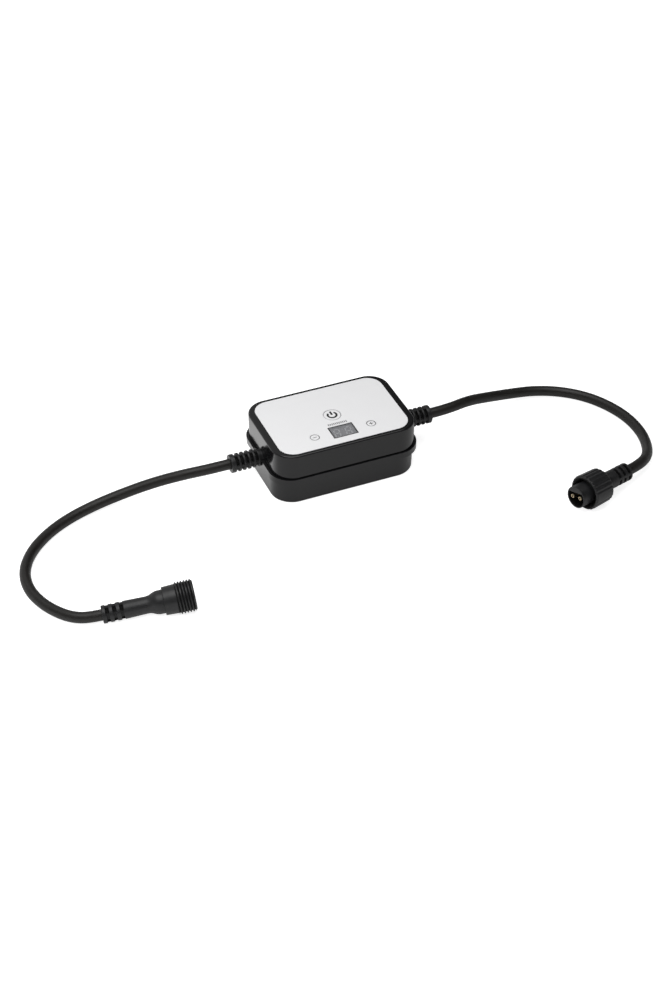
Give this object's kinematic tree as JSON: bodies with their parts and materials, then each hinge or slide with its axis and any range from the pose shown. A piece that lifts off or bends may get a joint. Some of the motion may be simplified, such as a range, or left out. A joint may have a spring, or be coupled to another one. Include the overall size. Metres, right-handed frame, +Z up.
{
  "type": "light dimmer",
  "caption": "Inline weatherproof dimmer: a small two-part box with keys and a display on a pale panel, two short cables and a pair of two-pin screw connectors.",
  "frame": {"origin": "under the middle of the box, on the surface that it stands on", "axes": "+X along the box, from the left cable to the right one; +Y to the back, away from the display; +Z up"},
  "size_m": [0.3849, 0.1364, 0.0345],
  "materials": {
    "case": "moulded ABS, satin",
    "panel": "printed polycarbonate overlay, satin",
    "key": "printed polycarbonate overlay, satin",
    "frame": "printed dark border",
    "window": "smoked clear plastic",
    "display": "display block, matt",
    "digit": "unlit display bars",
    "switch": "moulded",
    "switch_button": "moulded",
    "plunger": "moulded",
    "board": "coated laminate",
    "chip": "moulded epoxy",
    "capacitor": "sleeveless can",
    "choke": "ferrite, matt",
    "steel": "zinc plated",
    "brass": "plated",
    "seal": "moulded rubber",
    "gland": "soft moulded plastic, satin",
    "cable": "extruded sheath, satin",
    "lead": "insulated wire",
    "connector": "moulded, satin",
    "insert": "moulded, matt",
    "nut": "moulded, satin"
  },
  "bodies": {
    "case": {"top_case": "case", "bottom_case": "case", "case_seal": "seal", "case_screws": "steel", "face_panel": "panel", "window_frame": "frame", "display_window": "window", "display_module": "display", "display_digits": "digit", "switch_bodies": "switch", "main_board": "board", "board_screws": "steel", "controller_chip": "chip", "power_transistors": "chip", "smoothing_capacitor": "capacitor", "choke": "choke", "board_terminals": "steel", "right_gland": "gland", "left_gland": "gland", "right_cable_tail": "cable", "left_cable_tail": "cable", "right_leads": "lead", "left_leads": "lead", "left_cable": "cable", "socket_body": "connector", "socket_shell": "connector", "socket_insert": "insert", "socket_contacts": "brass", "right_cable": "cable", "plug_body": "connector", "pin_carrier": "insert", "plug_pins": "brass", "plug_seal": "seal"},
    "power_button": {"power_key": "key", "power_plunger": "plunger", "power_switch_button": "switch_button"},
    "minus_button": {"minus_key": "key", "minus_plunger": "plunger", "minus_switch_button": "switch_button"},
    "plus_button": {"plus_key": "key", "plus_plunger": "plunger", "plus_switch_button": "switch_button"},
    "nut": {"union_nut": "nut"}
  },
  "joints": [
    {"name": "power_press", "type": "slide", "parent": "case", "child": "power_button", "axis": [0, 0, -1], "range_m": [0, 0.0004], "stiffness_N_per_m": 4000},
    {"name": "minus_press", "type": "slide", "parent": "case", "child": "minus_button", "axis": [0, 0, -1], "range_m": [0, 0.0004], "stiffness_N_per_m": 4000},
    {"name": "plus_press", "type": "slide", "parent": "case", "child": "plus_button", "axis": [0, 0, -1], "range_m": [0, 0.0004], "stiffness_N_per_m": 4000},
    {"name": "nut_spin", "type": "hinge", "parent": "case", "child": "nut", "pos_m": [0.12354, -0.09396, 0.01082], "axis": [0.9607, 0.2755, -0.0349], "continuous": true}
  ]
}
